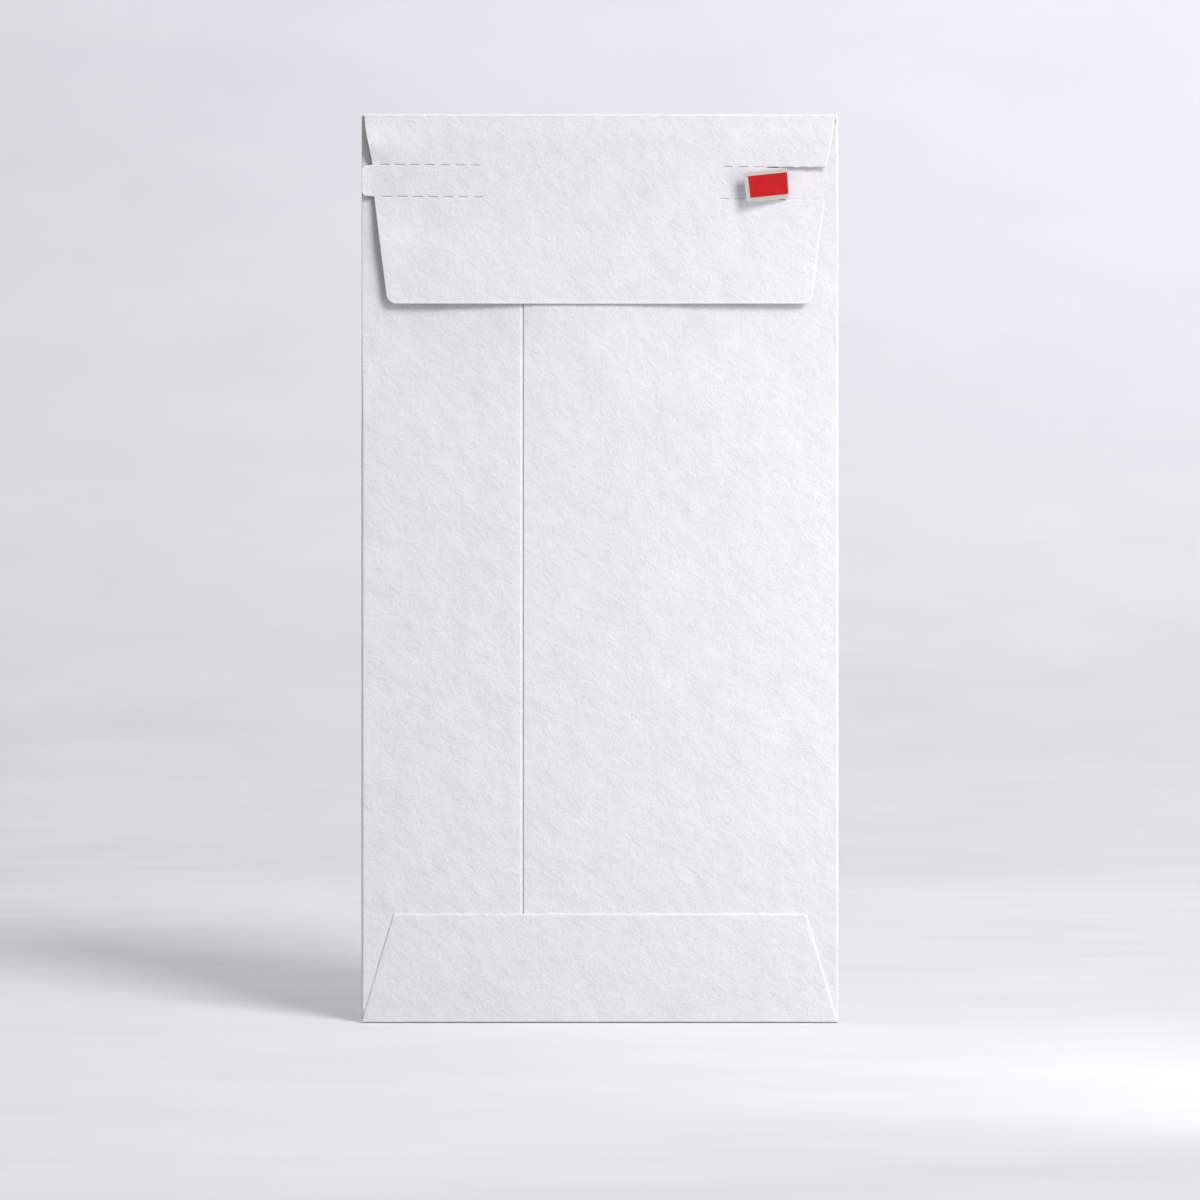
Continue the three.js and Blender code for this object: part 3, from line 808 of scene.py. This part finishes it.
def makeUpperBand():
    rowsZ = spacing(bandLow.z, bandHigh.z, flap["step"], cutHigh=False)
    rightLine = straight(halfWidth - flap["bandInset"], bandHigh.z, tabRootX, bandLow.z)
    leftMargin, rightMargin = flap["bandMargins"]
    middleX = slitColumns(["upper"], -tabRootX + leftMargin, tabRootX - rightMargin)

    def leftLine(z):
        shifted = smoothStep(bandHigh.z, bandHigh.z - flap["shiftFade"], z)
        return -rightLine(z) - flap["leftShift"] * shifted

    x, z = sheetGrid(rowsZ, leftLine, rightLine, middleX, 0)
    left = [(float(leftLine(level)), level) for level in spread(bandLow.z, bandHigh.z, flap["step"])]
    right = [(tearX, bandLow.z), (tabRootX, bandLow.z), (rightLine(bandHigh.z), bandHigh.z)]
    depth, heightZ = perforate(x, z, "upper", bandLow.z, 1)
    layPaper("flap_upper_band", x, heightZ, depth, "closure_flap", edgeDistance(x, z, [left, right]))


def makeTearStrip():
    rowsZ = spacing(stripLow.z, stripHigh.z, flap["stripStep"])
    columnsX = slitColumns(["upper", "lower"], -tabRootX, tearX)
    x, z = np.meshgrid(columnsX, rowsZ)
    dip, heightZ = cutSlits(x, z, [("upper", stripHigh.z, -1), ("lower", stripLow.z, 1)])
    depth = foldedDepth + flapLift(x, z) - dip
    layPaper("tear_strip", x, heightZ + lineShift(x, z), depth, "closure_flap")


# Levels above a rounded corner's foot, up to the end of its arc.
def cornerLevels(radius, points):
    return radius * (1 - np.cos(np.linspace(0, math.pi / 2, points)))


def roundedCornerLine(halfTop, topZ, halfBottom, bottomZ, radius):
    slope = (halfTop - halfBottom) / (topZ - bottomZ)
    lean = math.atan(slope)
    centreZ = bottomZ + radius
    centreX = halfBottom + slope * radius - radius / math.cos(lean)
    tangentZ = centreZ - radius * math.sin(lean)

    def line(z):
        side = halfBottom + (z - bottomZ) * slope
        arc = centreX + np.sqrt(np.clip(radius**2 - (centreZ - np.minimum(z, centreZ)) ** 2, 0, None))
        return np.where(np.asarray(z) < tangentZ, arc, side)
    return line


def makeLowerPanel():
    rightLine = roundedCornerLine(halfWidth - flap["panelInset"], lowerHigh.z,
                                  halfWidth - flap["bottomInset"], lowerLow.z, flap["cornerRadius"])
    rowsZ = spacing(lowerLow.z, lowerHigh.z, flap["step"])
    rowsZ = np.unique(np.concatenate([rowsZ, lowerLow.z + np.array(flap["cornerRows"])]))
    lastColumn = float(rightLine(lowerHigh.z)) - flap["panelMargin"]
    shift = flap["leftShift"]
    middleX = slitColumns(["lower"], -lastColumn - shift, lastColumn)
    x, z = sheetGrid(rowsZ, lambda z: -rightLine(z) - shift, rightLine, middleX, -1)
    arcZ = lowerLow.z + cornerLevels(flap["cornerRadius"], flap["cornerPoints"])
    side = [(float(rightLine(level)), level) for level in [*arcZ, lowerHigh.z]]
    free = [[(-a - shift, b) for a, b in side], side, [(-side[0][0] - shift, lowerLow.z), side[0]],
            [(tearX, lowerHigh.z), side[-1]]]
    rim = flap["edgeLift"] * (1 - smoothStep(0, flap["edgeLiftWidth"], z - lowerLow.z))
    depth, heightZ = perforate(x, z, "lower", lowerHigh.z, -1)
    layPaper("flap_lower_panel", x, heightZ, depth + rim, "closure_flap", edgeDistance(x, z, free))


def makeClosureGum():
    x, z = boxGrid(gumLow, gumHigh, *flap["gumSteps"])
    layFilm("closure_gum", x, z, outerFlapDepth + flapLift(x, z), "closure_flap", "gum")


# The starter tab gets a little narrower towards its rounded end.
tab = dict(step=0.6, radius=1.2, cornerPoints=10, rootShares=(0.7, 0.85, 1), longer=0.28,
           taperTop=0.5, taperLow=0.2)


def makeStarterTab():
    radius = tab["radius"]
    endX = tabEndX + tab["longer"]
    rowsZ = spacing(tabLow.z, tabHigh.z, tab["step"])

    def leftLine(z):
        inCorner = np.clip(radius - np.minimum(z - tabLow.z, tabHigh.z - z), 0, radius)
        return -endX + radius - np.sqrt(radius**2 - inCorner**2)

    z = np.array(rowsZ)[:, None]
    shares = np.concatenate([edgeSteps / (endX - tabRootX), tab["rootShares"]])
    x = leftLine(z) + shares * (-tabRootX - leftLine(z))
    z = np.broadcast_to(z, x.shape).copy()
    arcZ = tabLow.z + cornerLevels(radius, tab["cornerPoints"])
    lower = [(float(leftLine(level)), level) for level in arcZ]
    upper = [(a, tabLow.z + tabHigh.z - b) for a, b in lower]
    free = [[(-tabRootX, tabLow.z), *lower, *upper[::-1], (-tabRootX, tabHigh.z)]]
    away = np.clip((-tabRootX - x) / (endX - tabRootX), 0, 1)
    upShare = (z - tabLow.z) / (tabHigh.z - tabLow.z)
    narrowed = z + away * (tab["taperLow"] * (1 - upShare) - tab["taperTop"] * upShare)
    layPaper("starter_tab", x, narrowed + lineShift(x, z), foldedDepth + flapLift(x, z), "tab",
             edgeDistance(x, z, free))


def makeFlatTape(name, body, low, high):
    x, z = boxGrid(low, high, *flap["tapeSteps"])
    depth = outerFlapDepth + flapLift(x, z)
    layFilm(name, x, z + lineShift(x, z), depth, body, "tear_tape")


makeUpperBand()
makeTearStrip()
makeLowerPanel()
makeClosureGum()
makeStarterTab()
makeFlatTape("tear_tape", "closure_flap", tapeLow, tapeHigh)
makeFlatTape("tear_tape_start", "tab", tapeStartLow, tapeStartHigh)
print("closure flap, tab and tape made")


# The torn end, curled back round an axis that leans to the left at its top
bend = next(joint for joint in frame["joints"] if joint["name"] == "torn_end_bend")
curlX = bend["pos_m"][0] / mm
torn = dict(
    lean=math.atan2(-bend["axis"][0], bend["axis"][2]),
    radius=(runLow.y - tapeEndLow.y - paperThickness - filmThickness) / 2,
    width=runHigh.z - runLow.z, tapeWidth=tapeHigh.z - tapeLow.z, tapeMargin=-tapeStartLow.x,
    endLength=8, cornerRadius=0.6, tapeCornerRadius=0.05, cornerPoints=8,
    across=0.5, along=0.3, curlSteps=36, edgeColumns=7,
    foldRadius=0.42, foldReach=1.3, springBack=12, heldGap=0.03, edgePower=3,
    upperSeed=2.9, lowerSeed=7.4,
)
neutralRadius = torn["radius"] + paperThickness / 2
halfTurn = neutralRadius * math.pi


# The path of the strip's middle layer across the bend, by the share of the bend that is passed: on
# along the flap, round a tight fold, and back to above where it began, rising. It gives the way
# sideways and outwards and the direction.
def bendPath(share):
    radius = torn["foldRadius"]
    turned = math.pi - math.radians(torn["springBack"])
    ahead = torn["foldReach"] - radius - paperThickness / 2 - filmThickness
    back = (ahead + radius * math.sin(turned)) / -math.cos(turned)
    gone = share * (ahead + radius * turned + back)
    direction = np.clip((gone - ahead) / radius, 0, turned)
    straight = np.clip(gone, 0, ahead)
    past = np.clip(gone - ahead - radius * turned, 0, None)
    sideways = straight + radius * np.sin(direction) + past * math.cos(turned)
    outwards = radius * (1 - np.cos(direction)) + past * math.sin(turned)
    return sideways, outwards, direction


# Where a point of the flat strip goes when the strip is folded back, given by its place on the flat
# strip and its distance from the strip's middle layer, towards the reverse.
def foldedBack(flatX, flatZ, offset):
    cosLean, sinLean = math.cos(torn["lean"]), math.sin(torn["lean"])
    along = flatX - curlX
    across = flatZ - stripMiddleZ
    past = along * cosLean + across * sinLean
    onAxis = across * cosLean - along * sinLean
    sideways, outwards, direction = bendPath(np.clip(past / halfTurn, 0, 1))
    rest = np.clip(past - halfTurn, 0, None)
    sideways = sideways + np.minimum(past, 0) + rest * np.cos(direction) + offset * np.sin(direction)
    outwards = outwards + rest * np.sin(direction) - offset * np.cos(direction)
    x = curlX + sideways * cosLean - onAxis * sinLean
    z = stripMiddleZ + sideways * sinLean + onAxis * cosLean
    rootX = np.minimum(flatX, curlX)
    depth = foldedDepth - paperThickness / 2 + outwards + flapLift(rootX, flatZ)
    return np.stack([x, farY - depth, z + lineShift(rootX, flatZ)], -1)


# The flat x of a line across the strip that is parallel to the curl's axis.
def curlLineX(past, across):
    return curlX + (past - across * math.sin(torn["lean"])) / math.cos(torn["lean"])


def acrossShares(halfWide):
    steps = edgeSteps[:torn["edgeColumns"]] / halfWide
    middle = spread(-1 + steps[-1], 1 - steps[-1], torn["across"] / halfWide)[1:-1]
    return np.concatenate([-1 + steps, middle, 1 - steps[::-1]])


def tornOutline(flatX, shares, halfWide, isPaper):
    flatZ = stripMiddleZ + shares * halfWide * np.ones_like(flatX)
    if isPaper:
        freed = smoothStep(openX - flap["openFade"], openX + flap["openFade"], flatX)
        held = (1 - freed) * ((stripHigh.z - stripLow.z) / 2 - halfWide - torn["heldGap"])
        upper = held + freed * tornEdge(flatX, "upper", torn["upperSeed"])
        lower = held + freed * tornEdge(flatX, "lower", torn["lowerSeed"])
        flatZ = flatZ + np.where(shares > 0, upper, -lower) * np.abs(shares) ** torn["edgePower"]
    return flatZ


def makeTornPiece(name, body, flatX, shares, halfWide, distance=None, blend=None):
    isPaper = "strip" in name
    flatZ = tornOutline(flatX, shares, halfWide, isPaper)
    if isPaper:
        faces = [foldedBack(flatX, flatZ, step * paperThickness) for step in (-0.5, 0.5)]
        sides = (1 - np.abs(shares)) * halfWide * np.ones_like(flatX)
        distance = sides if distance is None else np.minimum(sides, distance)
        near, far = roundEdges(*faces, distance)
        makePiece(name, near, far, body, "paper", distance, blend)
    else:
        base = paperThickness / 2
        near, far = (foldedBack(flatX, flatZ, base + step) for step in (0, filmThickness))
        makePiece(name, near, far, body, "tear_tape", None, blend)


def makeTornRun(name, wide):
    shares = acrossShares(wide / 2)[:, None]
    endX = curlLineX(0, shares * wide / 2)
    flatX = tearX + spread(0, 1, torn["along"] / (curlX - tearX)) * (endX - tearX)
    makeTornPiece(name, "closure_flap", flatX, shares, wide / 2)


def makeCurl(name, wide):
    shares = acrossShares(wide / 2)[:, None]
    pasts = np.linspace(0, halfTurn, torn["curlSteps"] + 1)
    flatX = curlLineX(pasts, shares * wide / 2)
    middle = Vector((curlX, farY - foldedDepth - torn["foldRadius"], stripMiddleZ)) * mm
    half = Vector((0, torn["foldRadius"], 0)) * mm
    blend = ("closure_flap", "torn_end", middle + half, middle - half)
    makeTornPiece(name, "closure_flap", flatX, shares, wide / 2, blend=blend)


def makeTornEnd(name, wide, endX, cornerRadius):
    shares = acrossShares(wide / 2)[:, None]
    startX = curlLineX(halfTurn, shares * wide / 2)
    turns = np.linspace(0, math.pi / 2, torn["cornerPoints"])[1:]
    runEnd = endX - cornerRadius
    run = startX + spread(0, 1, torn["along"] / torn["endLength"]) * (runEnd - startX)
    corner = runEnd + cornerRadius * np.sin(turns)
    narrowing = 1 - cornerRadius * (1 - np.cos(turns)) / (wide / 2)
    flatX = np.hstack([run, np.broadcast_to(corner, (len(shares), len(corner)))])
    scale = np.concatenate([np.ones(run.shape[1]), narrowing])
    distance = (endX - flatX) + 0 * shares
    makeTornPiece(name, "torn_end", flatX, shares * scale, wide / 2, distance)


for makeLength, stripPart, tapePart in ((makeTornRun, "torn_strip_run", "tear_tape_run"),
                                        (makeCurl, "strip_curl", "tape_curl")):
    makeLength(stripPart, torn["width"])
    makeLength(tapePart, torn["tapeWidth"])
makeTornEnd("torn_strip_end", torn["width"], tabEndX, torn["cornerRadius"])
makeTornEnd("tear_tape_end", torn["tapeWidth"], torn["tapeMargin"], torn["tapeCornerRadius"])
print("torn end curled back")


# The studio: one sweep of painted board, which rises into a wall far behind the envelope
studio = dict(
    halfSpan=2.2, frontY=-1.6, bendY=0.5, bendRadius=0.35, bendPoints=25, wallTop=2.6,
    keyDistance=3.2, keySize=(1.2, 1.2), keyPower=64.5, keyDirection=(0.78, -1.0, 0.8),
    panelPlace=(0.18, -0.14, 0.13), panelSize=(0.12, 0.26), panelPower=0.117, panelSpread=140,
    topPlace=(0, -0.05, 1.0), topSize=(0.6, 0.4), topPower=1.0, openSpread=180,
    lampColour=(1, 0.995, 0.985), ambient=0.318, airColour="#fafaff", seenAir="#f0f1f6",
    cameraDistance=0.85, cameraHeight=0.1063, lens=101.5, sensor=36, clip=(0.02, 20),
)


def makeSweep():
    turns = np.linspace(0, math.pi / 2, studio["bendPoints"])
    profile = [(studio["frontY"], 0.0)]
    profile += [(studio["bendY"] + studio["bendRadius"] * math.sin(t),
                 studio["bendRadius"] * (1 - math.cos(t))) for t in turns]
    profile.append((studio["bendY"] + studio["bendRadius"], studio["wallTop"]))
    points = [(side * studio["halfSpan"], y, z) for y, z in profile for side in (-1, 1)]
    faces = [(2 * i, 2 * i + 1, 2 * i + 3, 2 * i + 2) for i in range(len(profile) - 1)]
    mesh = bpy.data.meshes.new("studioSweep")
    mesh.from_pydata(points, [], faces)
    mesh.shade_smooth()
    sweep = linkObject("studio_sweep", mesh)
    return sweep


# Brush streaks 30 mm long lie across the board. The camera sees it glow by four greys, so that it
# looks as pale as a lit one: little on the floor in front and in the bend, more behind the envelope
# and up the wall, and more towards the right. Places are metres along the sweep, Y plus Z.
board = dict(
    streakScale=30, streakStretch=(0.35, 1, 1), streak="#ebebef", white="#f1f1f5",
    floorLight="#b4b4b8", wallLight="#f8f8fb", startPlace=-0.5, endPlace=1.65,
    glow=((-0.05, "#1e1e20"), (0.36, "#555559"), (0.75, "#1e2023"), (1.25, "#6f727a")),
    leftX=-0.3, rightX=0.3, leftShare=0.62, rightShare=1.45,
)


# Is 1 for what the camera sees, also in a mirror or through glass.
def seenRay(tree):
    rays = addNode(tree, "ShaderNodeLightPath").outputs
    mirrored = addNode(tree, "ShaderNodeMath", {
        0: rays["Is Glossy Ray"], 1: rays["Is Transmission Ray"],
    }, operation="MAXIMUM")
    return addNode(tree, "ShaderNodeMath", {
        0: rays["Is Camera Ray"], 1: mirrored,
    }, operation="MAXIMUM")


# Matt painted board with faint brush streaks, which the camera sees white, with the envelope's shadow.
def paintedBoard():
    material, tree = newMaterial("paintedBoard")
    place = addNode(tree, "ShaderNodeTexCoord").outputs["Object"]
    seen = seenRay(tree)
    streaked = addNode(tree, "ShaderNodeMapping", {"Vector": place, "Scale": board["streakStretch"]})
    streaks = addNode(tree, "ShaderNodeTexNoise", {
        "Vector": streaked, "Scale": board["streakScale"], "Detail": 6,
    })
    shade = addNode(tree, "ShaderNodeMapRange", {"Value": streaks, "From Min": 0.3, "From Max": 0.7})
    white = addNode(tree, "ShaderNodeMix", {
        0: shade, 6: hexLinear(board["streak"]), 7: hexLinear(board["white"]),
    }, data_type="RGBA").outputs[2]
    parts = addNode(tree, "ShaderNodeSeparateXYZ", {0: place}).outputs
    # the floor gives little light back under the flap, the wall gives the address side its light
    upWall = addNode(tree, "ShaderNodeMapRange", {
        "Value": parts[2], "From Min": 0, "From Max": studio["bendRadius"],
    })
    givenBack = addNode(tree, "ShaderNodeMix", {
        0: upWall, 6: hexLinear(board["floorLight"]), 7: hexLinear(board["wallLight"]),
    }, data_type="RGBA").outputs[2]
    colour = addNode(tree, "ShaderNodeMix", {
        0: seen, 6: givenBack, 7: white,
    }, data_type="RGBA").outputs[2]
    along = addNode(tree, "ShaderNodeMath", {0: parts[1], 1: parts[2]})
    share = addNode(tree, "ShaderNodeMapRange", {
        "Value": along, "From Min": board["startPlace"], "From Max": board["endPlace"],
    })
    ramp = addNode(tree, "ShaderNodeValToRGB", {"Fac": share})
    stops = ramp.color_ramp.elements
    while len(stops) < len(board["glow"]):
        stops.new(0.5)
    for stop, (glowPlace, grey) in zip(stops, board["glow"]):
        stop.position = (glowPlace - board["startPlace"]) / (board["endPlace"] - board["startPlace"])
        stop.color = hexLinear(grey)
    across = addNode(tree, "ShaderNodeMapRange", {
        "Value": parts[0], "From Min": board["leftX"], "From Max": board["rightX"],
        "To Min": board["leftShare"], "To Max": board["rightShare"],
    })
    strength = addNode(tree, "ShaderNodeMath", {0: across, 1: seen}, operation="MULTIPLY")
    glowing = addNode(tree, "ShaderNodeEmission", {"Color": ramp, "Strength": strength})
    matt = addNode(tree, "ShaderNodeBsdfDiffuse", {"Color": colour})
    whole = addNode(tree, "ShaderNodeAddShader", {0: matt, 1: glowing})
    addNode(tree, "ShaderNodeOutputMaterial", {"Surface": whole})
    return material


def makeLights():
    middle = Vector((0, farY * mm, height / 2 * mm))
    keyPlace = middle + Vector(studio["keyDirection"]).normalized() * studio["keyDistance"]
    lamps = [("key_softbox", "key", keyPlace, studio["openSpread"]),
             ("side_panel", "panel", Vector(studio["panelPlace"]), studio["panelSpread"]),
             ("top_softbox", "top", Vector(studio["topPlace"]), studio["openSpread"])]
    for name, part, place, beam in lamps:
        lamp = bpy.data.lights.new(name, "AREA")
        lamp.shape = "RECTANGLE"
        lamp.size, lamp.size_y = studio[part + "Size"]
        lamp.energy = studio[part + "Power"]
        lamp.color = studio["lampColour"]
        lamp.spread = math.radians(beam)
        softbox = linkObject(name, lamp)
        softbox.visible_camera = False
        softbox.location = place
        softbox.rotation_euler = (place - middle).to_track_quat("Z", "Y").to_euler()
    world = bpy.data.worlds.new("studioAir")
    bpy.context.scene.world = world
    world.use_nodes = True
    tree = world.node_tree
    tree.nodes.clear()
    air = addNode(tree, "ShaderNodeBackground", {
        "Color": hexLinear(studio["airColour"]), "Strength": studio["ambient"],
    })
    pale = addNode(tree, "ShaderNodeBackground", {"Color": hexLinear(studio["seenAir"]), "Strength": 1})
    either = addNode(tree, "ShaderNodeMixShader", {0: seenRay(tree), 1: air, 2: pale})
    addNode(tree, "ShaderNodeOutputWorld", {"Surface": either})


def makeCamera():
    lens = bpy.data.cameras.new("camera")
    lens.lens = studio["lens"]
    lens.sensor_width = studio["sensor"]
    lens.clip_start, lens.clip_end = studio["clip"]
    camera = linkObject("camera", lens)
    camera.location = (0, bandLow.y * mm - studio["cameraDistance"], studio["cameraHeight"])
    camera.rotation_euler = (math.pi / 2, 0, 0)
    bpy.context.scene.camera = camera


sweep = makeSweep()
sweep.data.materials.append(paintedBoard())
makeLights()
makeCamera()
bpy.context.scene.view_settings.view_transform = "Standard"
print("studio set")
